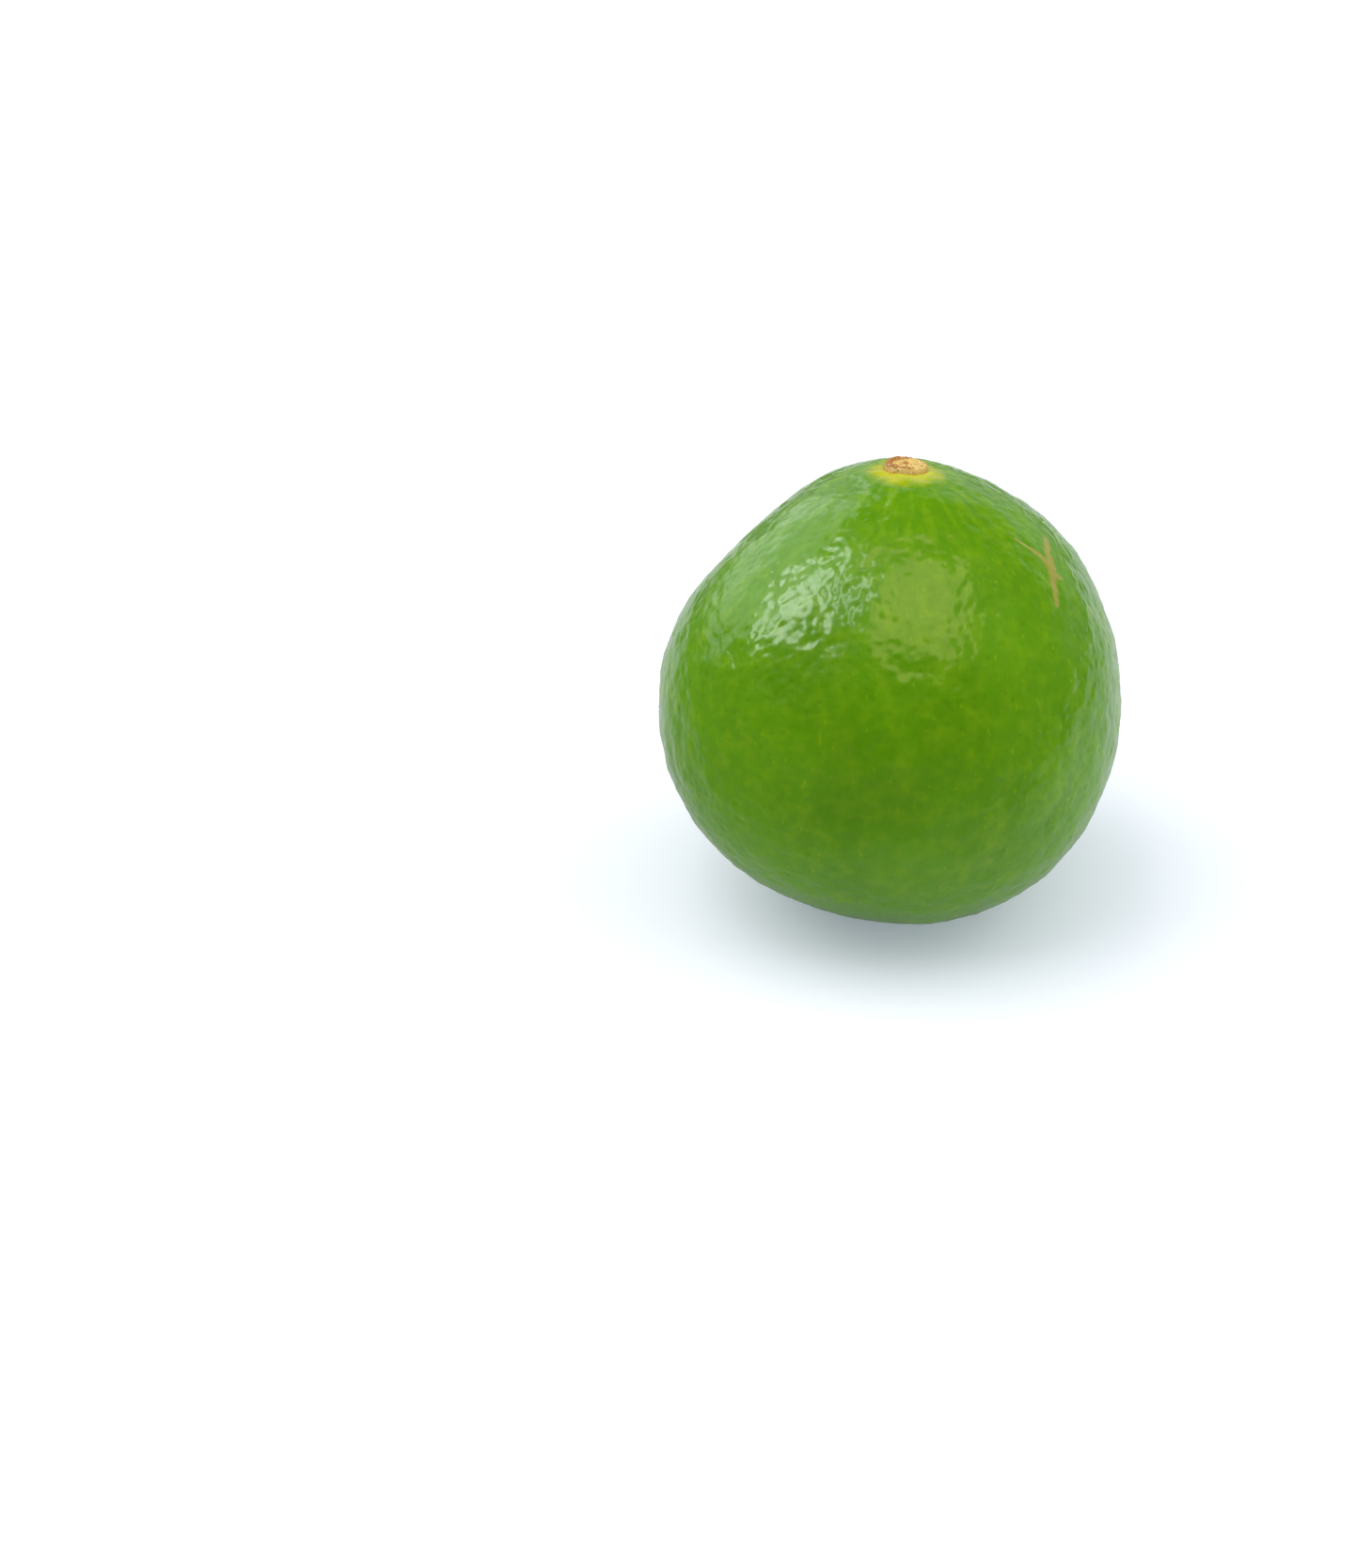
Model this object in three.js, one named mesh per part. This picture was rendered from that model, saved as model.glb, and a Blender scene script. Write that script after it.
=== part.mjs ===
// A whole lime, as picked: one solid fruit, and the dried stem button that sits in its stem end.
// Millimetres and degrees, +Z up. The origin is the middle of the small flat spot that the fruit
// rests on. The stem end is up, and leans a little towards +Y and +X.
import * as THREE from "three";
import { mergeVertices } from "three/addons/utils/BufferGeometryUtils.js";

// ---- Driving dimensions -------------------------------------------------------------------

// The body of the fruit: an egg curve turned about the stem axis.
const fruitWidth = 48.0; // across the widest ring
const fruitLength = 48.0; // from the stem pole to the stylar pole
const bellyFullness = 0.94; // added to the stylar half's radius, and taken from the stem half's
const endTaper = 0.31; // taken from the radius towards both ends

// Broad hollows and swellings, as grown. Each has a polar angle from the stem pole, a bearing
// round the stem axis from +X, a height, and a spread: the angle at which that height has fallen
// to about a third.
const unevenness = [
  { name: "left shoulder hollow", polar: 50, bearing: 160, spread: 26, height: -2.1 },
  { name: "right belly swelling", polar: 140, bearing: -27, spread: 36, height: 1.4 },
  { name: "left belly swelling", polar: 128, bearing: -160, spread: 26, height: 0.6 },
  { name: "right shoulder hollow", polar: 32, bearing: 38, spread: 20, height: -0.3 },
  { name: "right shoulder swelling", polar: 46, bearing: 19, spread: 18, height: 0.45 },
  { name: "back cheek hollow", polar: 92, bearing: 84, spread: 24, height: -0.6 },
];
const stemEndStaysRound = 6.5; // the unevenness fades out within this radius of the stem axis

// How it stands.
const leanBack = 12.2; // of the stem end towards +Y
const leanRight = 4.0; // of the stem end towards +X
const restFlatRadius = 5.0; // of the flat spot, where the rind gives under the fruit's weight

// The stem end.
const buttonRadius = 2.3;
const buttonStandsProud = 0.62; // above the skin at the edge of its seat
const buttonRimWidth = 0.55;
const buttonDishDepth = 0.3; // from the top of the rim to the dish
const buttonSepals = 5; // the button's outline is drawn in between them
const buttonSepalDepth = 0.14;
const stubRadius = 0.7; // of the broken stalk in the middle of the dish
const stubHeight = 0.2;
const seatDepth = 0.65;
const seatClearance = 0.3; // between the button and its seat, beside it and below it

// The stylar end: a small nipple where the flower's style was.
const nippleHeight = 0.6;
const nippleRadius = 1.9;
const nippleOffAxis = 8.5; // degrees from the stylar pole, towards -Y

// How finely the surfaces are cut.
const fruitSegments = 80; // round the stem axis
const fruitRings = 48; // from the seat to the stylar pole
const ringCrowding = 0.5; // 0 spaces the rings evenly, and more draws them to the two ends
const buttonSegments = 60;

// ---- Worked out from those ----------------------------------------------------------------

const halfWidth = fruitWidth / 2;
const halfLength = fruitLength / 2;
const seatRadius = buttonRadius + seatClearance;
const rad = THREE.MathUtils.degToRad;
const lean = new THREE.Euler(-rad(leanBack), rad(leanRight), 0);
const leanTurn = new THREE.Quaternion().setFromEuler(lean);
const down = new THREE.Vector3(0, 0, -1).applyQuaternion(leanTurn.clone().invert());

// 1 in the middle, about a third at x = 1, and nothing from x = 3 on.
function bell(x) {
  return Math.exp(-x * x);
}

// The unit vector at a polar angle from the stem pole and a bearing round the stem axis.
function directionAt(polar, bearing) {
  return new THREE.Vector3(Math.cos(rad(bearing)), Math.sin(rad(bearing)), 0)
    .multiplyScalar(Math.sin(rad(polar)))
    .setZ(Math.cos(rad(polar)));
}

// A point (radius, height) of the outline: t is 0 at the stem pole and PI at the stylar pole.
function outlinePoint(t) {
  const girth = halfWidth - bellyFullness * Math.cos(t) - endTaper * Math.cos(t) ** 2;
  return new THREE.Vector2(girth * Math.sin(t), halfLength * Math.cos(t));
}

// Where on the stem half the outline has a given radius, found by halving the interval.
function outlineParameterAt(radius) {
  let low = 0;
  let high = Math.PI / 2;
  for (let step = 0; step < 40; step++) {
    const middle = (low + high) / 2;
    if (outlinePoint(middle).x < radius) low = middle;
    else high = middle;
  }
  return low;
}

const seatParameter = outlineParameterAt(seatRadius);
const seatEdge = outlinePoint(seatParameter);
const seatFloor = seatEdge.y - seatDepth;

// Turns a profile of (radius, height) points, given from the top down, about the Z axis.
function turned(profile, segments) {
  const lathe = new THREE.LatheGeometry(profile.slice().reverse(), segments);
  lathe.rotateX(Math.PI / 2);
  lathe.deleteAttribute("normal");
  lathe.deleteAttribute("uv");
  return mergeVertices(lathe, 1e-4);
}

// Hands every vertex of a geometry to a function that moves it.
function reshape(geometry, move) {
  const positions = geometry.getAttribute("position");
  const point = new THREE.Vector3();
  for (let i = 0; i < positions.count; i++) {
    move(point.fromBufferAttribute(positions, i));
    positions.setXYZ(i, point.x, point.y, point.z);
  }
  geometry.computeVertexNormals();
  return geometry;
}

function part(name, geometry, color, roughness) {
  const material = new THREE.MeshStandardMaterial({ color, roughness, metalness: 0 });
  const mesh = new THREE.Mesh(geometry, material);
  mesh.name = name;
  return mesh;
}

// ---- The fruit ----------------------------------------------------------------------------

// From the middle of the seat's floor, over its edge and down the skin to the stylar pole.
function fruitProfile() {
  const profile = [
    new THREE.Vector2(0, seatFloor),
    new THREE.Vector2(seatRadius / 2, seatFloor),
    new THREE.Vector2(seatRadius, seatFloor),
    seatEdge,
  ];
  for (let ring = 1; ring < fruitRings; ring++) {
    const along = ring / fruitRings;
    const crowded = along - (ringCrowding * Math.sin(2 * Math.PI * along)) / (2 * Math.PI);
    profile.push(outlinePoint(seatParameter + (Math.PI - seatParameter) * crowded));
  }
  profile.push(new THREE.Vector2(0, -halfLength));
  return profile;
}

// How far the skin stands out from the turned shape in a direction from the fruit's middle.
function skinHeight(outward, fromAxis) {
  const stemHalf = outward.z > 0;
  const fade = stemHalf ? THREE.MathUtils.smoothstep(fromAxis, seatRadius, stemEndStaysRound) : 1;
  let height = 0;
  for (const swell of unevenness) {
    const away = outward.angleTo(directionAt(swell.polar, swell.bearing));
    height += swell.height * bell(away / rad(swell.spread)) * fade;
  }
  const fromNipple = outward.angleTo(directionAt(180 - nippleOffAxis, -90)) * halfLength;
  return height + nippleHeight * bell(fromNipple / nippleRadius);
}

// Presses the underside flat where the fruit rests, and returns the middle of the flat spot.
function pressFlat(geometry) {
  const positions = geometry.getAttribute("position");
  const point = new THREE.Vector3();
  let lowest = 0;
  for (let i = 0; i < positions.count; i++)
    lowest = Math.max(lowest, point.fromBufferAttribute(positions, i).dot(down));
  const undersideRadius = halfWidth ** 2 / halfLength; // of the curve at the end of an egg
  const given = undersideRadius - Math.sqrt(undersideRadius ** 2 - restFlatRadius ** 2);
  const spot = new THREE.Box3();
  reshape(geometry, (moved) => {
    const below = moved.dot(down) - (lowest - given);
    if (below < 0) return;
    moved.addScaledVector(down, -below);
    spot.expandByPoint(moved.clone().applyQuaternion(leanTurn));
  });
  return spot.getCenter(new THREE.Vector3());
}

function makeFruit() {
  return reshape(turned(fruitProfile(), fruitSegments), (point) => {
    const outward = point.clone().normalize();
    point.addScaledVector(outward, skinHeight(outward, Math.hypot(point.x, point.y)));
  });
}

// ---- The stem button ----------------------------------------------------------------------

// A shallow dish with a rounded rim, and the stub of the broken stalk in its middle.
function makeButton() {
  const bottom = seatFloor + seatClearance;
  const top = seatEdge.y + buttonStandsProud;
  const dish = top - buttonDishDepth;
  const rimInside = buttonRadius - buttonRimWidth;
  const profile = [
    new THREE.Vector2(0, dish + stubHeight),
    new THREE.Vector2(stubRadius * 0.7, dish + stubHeight * 0.9),
    new THREE.Vector2(stubRadius, dish),
    new THREE.Vector2(rimInside * 0.85, dish),
    new THREE.Vector2(rimInside, dish + buttonDishDepth * 0.8),
    new THREE.Vector2((rimInside + buttonRadius) / 2, top),
    new THREE.Vector2(buttonRadius - buttonRimWidth / 8, top - buttonDishDepth * 0.4),
    new THREE.Vector2(buttonRadius, (top + bottom) / 2),
    new THREE.Vector2(buttonRadius * 0.92, bottom),
    new THREE.Vector2(0, bottom),
  ];
  return reshape(turned(profile, buttonSegments), (point) => {
    const outwards = Math.hypot(point.x, point.y) / buttonRadius;
    const between = (1 - Math.cos(buttonSepals * Math.atan2(point.y, point.x))) / 2;
    const kept = 1 - (buttonSepalDepth / buttonRadius) * between * outwards ** 2;
    point.set(point.x * kept, point.y * kept, point.z);
  });
}

// ---- The whole lime -----------------------------------------------------------------------

const fruitGeometry = makeFruit();
const restSpot = pressFlat(fruitGeometry);
const leaning = new THREE.Group();
leaning.rotation.copy(lean);
leaning.position.copy(restSpot).negate();
leaning.add(part("fruit", fruitGeometry, "#5f9c0a", 0.38));
leaning.add(part("stem_button", makeButton(), "#b98a45", 0.8));

const lime = new THREE.Group();
lime.name = "lime";
lime.add(leaning);

export default lime;
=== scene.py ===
"""A whole lime at rest: a waxy rind full of oil glands, and the dry corky button of its stem.

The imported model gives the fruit's solid, the stem button's place and the lean of the stem axis.
Over the solid this script grows a fine skin, pits it with oil glands by Geometry Nodes, and paints
it with what a lime's rind shows. Lengths are in metres, unless a name ends in _mm.
"""

import logging
import math
from dataclasses import dataclass, fields
from enum import Enum
from typing import Any, ClassVar

import bpy
import numpy as np
from mathutils import Matrix, Vector, noise


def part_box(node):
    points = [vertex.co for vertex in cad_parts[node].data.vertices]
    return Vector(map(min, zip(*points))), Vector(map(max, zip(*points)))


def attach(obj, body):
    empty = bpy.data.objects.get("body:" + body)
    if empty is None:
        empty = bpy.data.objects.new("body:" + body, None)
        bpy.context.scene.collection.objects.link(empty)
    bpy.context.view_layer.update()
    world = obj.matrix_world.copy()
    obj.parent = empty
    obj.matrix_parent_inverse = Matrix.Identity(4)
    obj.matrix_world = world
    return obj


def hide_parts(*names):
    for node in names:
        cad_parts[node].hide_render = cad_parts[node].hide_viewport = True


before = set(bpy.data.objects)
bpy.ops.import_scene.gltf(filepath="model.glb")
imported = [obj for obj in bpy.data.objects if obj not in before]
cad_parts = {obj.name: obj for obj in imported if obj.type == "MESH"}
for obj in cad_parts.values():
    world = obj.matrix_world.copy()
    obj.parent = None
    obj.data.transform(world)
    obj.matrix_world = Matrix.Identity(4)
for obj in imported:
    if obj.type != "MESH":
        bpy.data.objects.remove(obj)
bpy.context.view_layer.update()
MM = 0.001

NUMBERS = "ShaderNodeMath"
VECTORS = "ShaderNodeVectorMath"
RAMPS = "ShaderNodeMapRange"
Readable = bpy.types.Node | bpy.types.NodeSocket

log = logging.getLogger("lime")


class Mark(str, Enum):
    """The mesh attributes that carry a place on the skin to the rind's material."""

    GLAND = "gland"  # the way from the nearest gland's middle, in gland radii
    STEM_MM = "stem_mm"  # the distance from the stem axis, nothing past the fruit's waist
    STYLE_MM = "style_mm"  # the distance from the style's scar
    CHAFE = "chafe"  # the distance from the nearest wind scar, in its half widths
    GROWTH = "growth"  # runs with the meridians, from stem to style


class Slot(str, Enum):
    """The record's material slots."""

    RIND = "rind"
    DRY_STEM = "dry_stem"


# ---- Small tools ----------------------------------------------------------------------------


def linear(colour: str) -> tuple[float, float, float, float]:
    """Turns an sRGB hex colour into the linear colour that a shader takes.

    Args:
        colour: six hex digits with a leading #.

    Returns:
        Linear red, green, blue and an alpha of 1.
    """
    parts = [int(colour[i : i + 2], 16) / 255 for i in (1, 3, 5)]
    turned = [c / 12.92 if c <= 0.04045 else ((c + 0.055) / 1.055) ** 2.4 for c in parts]
    return (turned[0], turned[1], turned[2], 1.0)


def add_node(
    tree: bpy.types.NodeTree,
    kind: str,
    inputs: dict[str | int, Any] | None = None,
    **settings: Any,
) -> bpy.types.Node:
    """Adds a node to a tree, sets it up and links it.

    Args:
        tree: the tree that gets the node.
        kind: the node's type name.
        inputs: for each input, by name or number, a value, a socket to link from, or a node whose
            first usable output is linked.
        settings: the node's own properties.

    Returns:
        The new node.
    """
    node = tree.nodes.new(kind)
    for name, value in settings.items():
        setattr(node, name, value)
    for key, value in (inputs or {}).items():
        usable = [s for s in node.inputs if s.enabled]
        socket = node.inputs[key] if isinstance(key, int) else next(s for s in usable if s.name == key)
        if isinstance(value, bpy.types.Node):
            value = next(s for s in value.outputs if s.enabled)
        if isinstance(value, bpy.types.NodeSocket):
            tree.links.new(value, socket)
        else:
            socket.default_value = value
    return node


def smooth_step(value: np.ndarray, low: float, high: float) -> np.ndarray:
    """Rises smoothly from 0 at low to 1 at high."""
    t = np.clip((value - low) / (high - low), 0, 1)
    return t * t * (3 - 2 * t)


def bell(value: np.ndarray) -> np.ndarray:
    """Is 1 at 0 and falls to about a third at 1."""
    return np.exp(-value * value)


def points_of(mesh: bpy.types.Mesh) -> np.ndarray:
    """Reads a mesh's vertices.

    Args:
        mesh: the mesh.

    Returns:
        Their places, one row each.
    """
    flat = np.empty(len(mesh.vertices) * 3)
    mesh.vertices.foreach_get("co", flat)
    return flat.reshape(-1, 3)


def put_in_scene(name: str, data: bpy.types.ID) -> bpy.types.Object:
    """Makes an object of its data and puts it in the scene.

    Args:
        name: the object's name.
        data: its mesh, lamp or camera.

    Returns:
        The object.
    """
    thing = bpy.data.objects.new(name, data)
    bpy.context.scene.collection.objects.link(thing)
    return thing


def store(mesh: bpy.types.Mesh, name: str, values: np.ndarray) -> None:
    """Stores a number or a vector on every vertex of a mesh.

    Args:
        mesh: the mesh.
        name: the name of its new attribute.
        values: one number or one row for each vertex.
    """
    kind, key = ("FLOAT", "value") if values.ndim == 1 else ("FLOAT_VECTOR", "vector")
    attribute = mesh.attributes.new(name, kind, "POINT")
    attribute.data.foreach_set(key, values.astype(np.float32).ravel())


def ring_noise(bearing: float, radius: float, height: float) -> float:
    """Reads smooth noise round a circle, where it joins up with itself.

    Args:
        bearing: round the circle, in radians.
        radius: the circle's radius, which gives more bumps round it when it is larger.
        height: the circle's height in the noise.

    Returns:
        A number from about -1 to 1.
    """
    return noise.noise(Vector((math.cos(bearing) * radius, math.sin(bearing) * radius, height)))


def finish_piece(piece: bpy.types.Object, node: str) -> None:
    """Puts a finished piece in the frame, in place of its CAD node.

    Args:
        piece: the piece, with its place in its mesh.
        node: the CAD node that it stands for.
    """
    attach(piece, "root")
    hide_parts(node)
    triangles = sum(len(p.vertices) - 2 for p in piece.data.polygons)
    log.info("%s: %d triangles, in place of %s", piece.name, triangles, node)


@dataclass(frozen=True)
class StemAxis:
    """The fruit's own axis, which runs from the style's end up through the stem button.

    Attributes:
        middle: the point of the axis at the fruit's middle.
        along: the unit vector towards the stem.
        right: the unit vector square to the axis that bearings start from, nearest to +X.
        top: how far along the axis from the middle the button's rim is.
        bottom: the same of the button's underside.
        button_radius: the button's largest radius.
    """

    middle: np.ndarray
    along: np.ndarray
    right: np.ndarray
    top: float
    bottom: float
    button_radius: float

    @classmethod
    def from_frame(cls) -> "StemAxis":
        """Finds the axis: the button is a disc, so its thinnest direction is the axis.

        Returns:
            The axis.
        """
        button = points_of(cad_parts["stem_button"].data)
        centre = button.mean(0)
        along = np.linalg.eigh(np.cov((button - centre).T))[1][:, 0]
        along = along * np.sign(along[2])
        low, high = (np.array(corner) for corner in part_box("fruit"))
        middle = centre + along * (((low + high) / 2 - centre) @ along)
        right = np.array([1.0, 0.0, 0.0]) - along * along[0]
        right /= np.linalg.norm(right)
        heights = (button - middle) @ along
        radii = np.linalg.norm(np.cross(button - middle, along), axis=1)
        return cls(middle, along, right, heights.max(), heights.min(), radii.max())

    @property
    def back(self) -> np.ndarray:
        """The unit vector square to the other two, nearest to +Y."""
        return np.cross(self.along, self.right)

    def direction(self, polar: float, bearing: float) -> np.ndarray:
        """Turns two angles into a direction.

        Args:
            polar: the angle from the stem, in degrees.
            bearing: round the axis from its right, in degrees.

        Returns:
            The unit vector.
        """
        p, b = math.radians(polar), math.radians(bearing)
        across = self.right * math.cos(b) + self.back * math.sin(b)
        return self.along * math.cos(p) + across * math.sin(p)

    def measured(self, points: np.ndarray) -> tuple[np.ndarray, np.ndarray, np.ndarray]:
        """Measures points by the axis.

        Args:
            points: places, one row each.

        Returns:
            Each point's distance from the axis, its height along it and its bearing in radians.
        """
        away = points - self.middle
        x, y = away @ self.right, away @ self.back
        return np.hypot(x, y), away @ self.along, np.arctan2(y, x)


# ---- Finishes -------------------------------------------------------------------------------


@dataclass(frozen=True)
class Ramp:
    """How something follows a reading.

    Attributes:
        low: the lower reading.
        high: the higher reading.
        at_low: what it is at the lower reading and below.
        at_high: what it is at the higher reading and above.
        smooth: true for a soft start and end, and false for a straight run between them.
    """

    low: float | Readable
    high: float | Readable
    at_low: float | Readable
    at_high: float | Readable
    smooth: bool = True


class Workings:
    """A node tree while it is built.

    Attributes:
        tree: the tree.
        known: what there is to work with, by name: inputs, and what nodes give.
    """

    def __init__(self, tree: bpy.types.NodeTree) -> None:
        """Starts with nothing known."""
        self.tree = tree
        self.known: dict[str, Any] = {}

    def work_out(self, *steps: tuple[Any, ...]) -> None:
        """Works in steps from what is known.

        Args:
            steps: for each the name of its result, NUMBERS, VECTORS or RAMPS, the operation or
                the Ramp, and what that takes: a name of something known, or a plain value.
        """
        for name, kind, how, *terms in steps:
            inputs = {i: self.known[t] if isinstance(t, str) else t for i, t in enumerate(terms)}
            settings = {"operation": how}
            if isinstance(how, Ramp):
                settings = {"interpolation_type": "SMOOTHSTEP" if how.smooth else "LINEAR"}
                inputs.update({"From Min": how.low, "From Max": how.high})
                inputs.update({"To Min": how.at_low, "To Max": how.at_high})
            self.known[name] = add_node(self.tree, kind, inputs, **settings)

    def lay_colours(self, ground: str, *layers: tuple[str, str]) -> None:
        """Lays colours over each other, from the ground up, as the colour that is known.

        Args:
            ground: the ground's sRGB colour.
            layers: for each the name of its mask and its sRGB colour.
        """
        self.known["colour"] = linear(ground)
        for mask, over in layers:
            inputs = {"Factor": self.known[mask], "A": self.known["colour"], "B": linear(over)}
            self.known["colour"] = add_node(self.tree, "ShaderNodeMix", inputs, data_type="RGBA")


class Dressing(Workings):
    """A material while it is built.

    Attributes:
        material: the material.
    """

    def __init__(self, name: str) -> None:
        """Starts a material with nothing in it but its Object coordinates, in millimetres.

        Args:
            name: what the real stuff is.
        """
        self.material = bpy.data.materials.new(name)
        self.material.use_nodes = True
        super().__init__(self.material.node_tree)
        self.tree.nodes.clear()
        self.known["place"] = add_node(self.tree, "ShaderNodeTexCoord").outputs["Object"]
        self.work_out(("mm", VECTORS, "MULTIPLY", "place", (1 / MM,) * 3))

    def add_patterns(self, *patterns: tuple[str, str, float, float]) -> None:
        """Adds noise over what is known.

        Args:
            patterns: for each its name, what it is laid over, its scale and its detail.
        """
        for name, over, scale, detail in patterns:
            inputs = {"Vector": self.known[over], "Scale": scale, "Detail": detail}
            self.known[name] = add_node(self.tree, "ShaderNodeTexNoise", inputs)

    def finished(self, shader: bpy.types.Node) -> bpy.types.Material:
        """Links the shader up, and returns the material."""
        add_node(self.tree, "ShaderNodeOutputMaterial", {"Surface": shader})
        return self.material


@dataclass(frozen=True)
class WaxyRind:
    """The flavedo of a ripe green lime under its own wax.

    A glossy film of wax over duller skin gives crisp patches of light with a soft haze. The oil
    glands are shallow pits. Light goes a millimetre into the skin, so shade never falls off hard.
    """

    deep: str = "#447200"
    leaf: str = "#568800"
    pale: str = "#9bb80c"
    halo: str = "#b2b006"
    contact: str = "#a87212"
    cork: str = "#948840"
    style: str = "#75643a"
    patch_mm: float = 11.0  # patches of colour a centimetre across
    mottle_mm: float = 1.7
    cell_mm: float = 0.35  # the cells under the skin, and the grain of the wax
    streaks_round: float = 9.0  # gives streaks 3 mm apart at the waist and 6 mm long
    dashes_round: float = 55.0  # gives dashes 0.4 mm wide at the waist and 1 mm long
    ragged_edge: float = 2.2  # mm that the mottle shifts the edges of the stem end's colours
    lopsided_halo: float = 1.1  # mm that the halo reaches further out in front than at the sides
    oil_shade: float = 0.14
    roughness: float = 0.42
    cork_roughness: float = 0.7
    film: float = 0.8
    film_roughness: float = 0.16
    depth_of_light: float = 1.2 * MM
    gland_depth: float = 0.035 * MM

    def material(self) -> bpy.types.Material:
        """Builds the material.

        Returns:
            A material that reads Object coordinates and the skin's marks.
        """
        rind = Dressing("waxed_lime_rind")
        self.read(rind)
        self.mask(rind)
        rind.lay_colours(
            self.deep,
            ("leafy", self.leaf),
            ("fleck", self.pale),
            ("streaking", self.pale),
            ("dash", self.pale),  # where the skin stretched as it grew
            ("oil", self.deep),  # oil in a gland shows a little darker than the skin round it
            ("yellowing", self.halo),  # the skin turns yellow round the stem
            ("touching", self.contact),
            ("scar", self.cork),  # wind scars and the style's scar are healed with thin cork
            ("style_scar", self.style),
        )
        inputs = {"Factor": rind.known["dulled"], "A": rind.known["rub"], "B": self.cork_roughness}
        roughness = add_node(rind.tree, "ShaderNodeMix", inputs, data_type="FLOAT")
        inputs = {"Strength": 1.0, "Distance": self.gland_depth, "Height": rind.known["height"]}
        bump = add_node(rind.tree, "ShaderNodeBump", inputs)
        shader = add_node(
            rind.tree,
            "ShaderNodeBsdfPrincipled",
            {
                "Base Color": rind.known["colour"],
                "Roughness": roughness,
                "IOR": 1.45,
                "Normal": bump,
                "Subsurface Weight": 0.25,
                "Subsurface Radius": (0.5, 1.0, 0.12),
                "Subsurface Scale": self.depth_of_light,
                "Specular IOR Level": 0.04,
                "Coat Weight": self.film,
                "Coat Roughness": self.film_roughness,
                "Coat IOR": 1.45,
            },
        )
        return rind.finished(shader)

    def read(self, rind: Dressing) -> None:
        """Reads the skin's marks and patterns over it.

        Args:
            rind: the material.
        """
        for mark in Mark:
            node = add_node(rind.tree, "ShaderNodeAttribute", attribute_name=mark.value)
            vector = mark in (Mark.GLAND, Mark.GROWTH)
            rind.known[mark.value] = node.outputs["Vector" if vector else "Fac"]
        growth = add_node(rind.tree, "ShaderNodeSeparateXYZ", {"Vector": rind.known["growth"]})
        rind.known["behind"] = growth.outputs["Y"]
        rind.add_patterns(
            ("patches", "mm", 1 / self.patch_mm, 3.0),
            ("mottle", "mm", 1 / self.mottle_mm, 2.0),
            ("cells", "mm", 1 / self.cell_mm, 2.0),
            ("streaks", "growth", self.streaks_round, 3.0),
            ("dashes", "growth", self.dashes_round, 1.0),
        )
        # The mottle and the cells are added to the distances, so the edges of colours are ragged.
        rind.work_out(
            ("from_gland", VECTORS, "LENGTH", "gland"),
            ("ragged_stem", NUMBERS, "MULTIPLY_ADD", "mottle", self.ragged_edge, "stem_mm"),
            ("lopsided_stem", NUMBERS, "MULTIPLY_ADD", "behind", self.lopsided_halo, "ragged_stem"),
            ("frayed_chafe", NUMBERS, "MULTIPLY_ADD", "cells", 1.3, "chafe"),
            ("worn_style", NUMBERS, "MULTIPLY_ADD", "mottle", 1.2, "style_mm"),
        )

    def mask(self, rind: Dressing) -> None:
        """Works out where each colour and each kind of surface shows.

        Args:
            rind: the material.
        """
        glossy, dull = self.roughness - 0.05, self.roughness + 0.06
        rind.work_out(
            ("leafy", RAMPS, Ramp(0.3, 0.7, 0.45, 1.0, smooth=False), "patches"),
            ("fleck", RAMPS, Ramp(0.45, 0.8, 0.0, 0.16, smooth=False), "mottle"),
            ("streak", RAMPS, Ramp(0.5, 0.75, 0.0, 0.3, smooth=False), "streaks"),
            ("near_stem", RAMPS, Ramp(4.0, 18.0, 1.0, 0.25), "stem_mm"),
            ("streaking", NUMBERS, "MULTIPLY", "streak", "near_stem"),
            ("dash", RAMPS, Ramp(0.68, 0.76, 0.0, 0.22, smooth=False), "dashes"),
            ("pit", RAMPS, Ramp(0.15, 1.0, 1.0, 0.0), "from_gland"),
            ("oil", NUMBERS, "MULTIPLY", "pit", self.oil_shade),
            ("yellowing", RAMPS, Ramp(3.3, 5.7, 0.88, 0.0), "lopsided_stem"),
            ("touching", RAMPS, Ramp(3.1, 3.9, 0.9, 0.0), "ragged_stem"),
            ("scar", RAMPS, Ramp(0.95, 1.95, 0.82, 0.0), "frayed_chafe"),
            ("style_scar", RAMPS, Ramp(1.1, 1.7, 0.9, 0.0), "worn_style"),
            # Cork is dull, and the wax is rubbed unevenly.
            ("rub", RAMPS, Ramp(0.3, 0.7, glossy, dull, smooth=False), "mottle"),
            ("corky", NUMBERS, "MAXIMUM", "scar", "style_scar"),
            ("dulled", NUMBERS, "MAXIMUM", "corky", "touching"),
            # Height in gland depths: pits go in, scars and the grain of the wax stand out.
            ("sunk", NUMBERS, "MULTIPLY", "pit", -0.5),
            ("grained", NUMBERS, "MULTIPLY_ADD", "cells", 0.2, "sunk"),
            ("height", NUMBERS, "MULTIPLY_ADD", "scar", 0.5, "grained"),
        )


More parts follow.
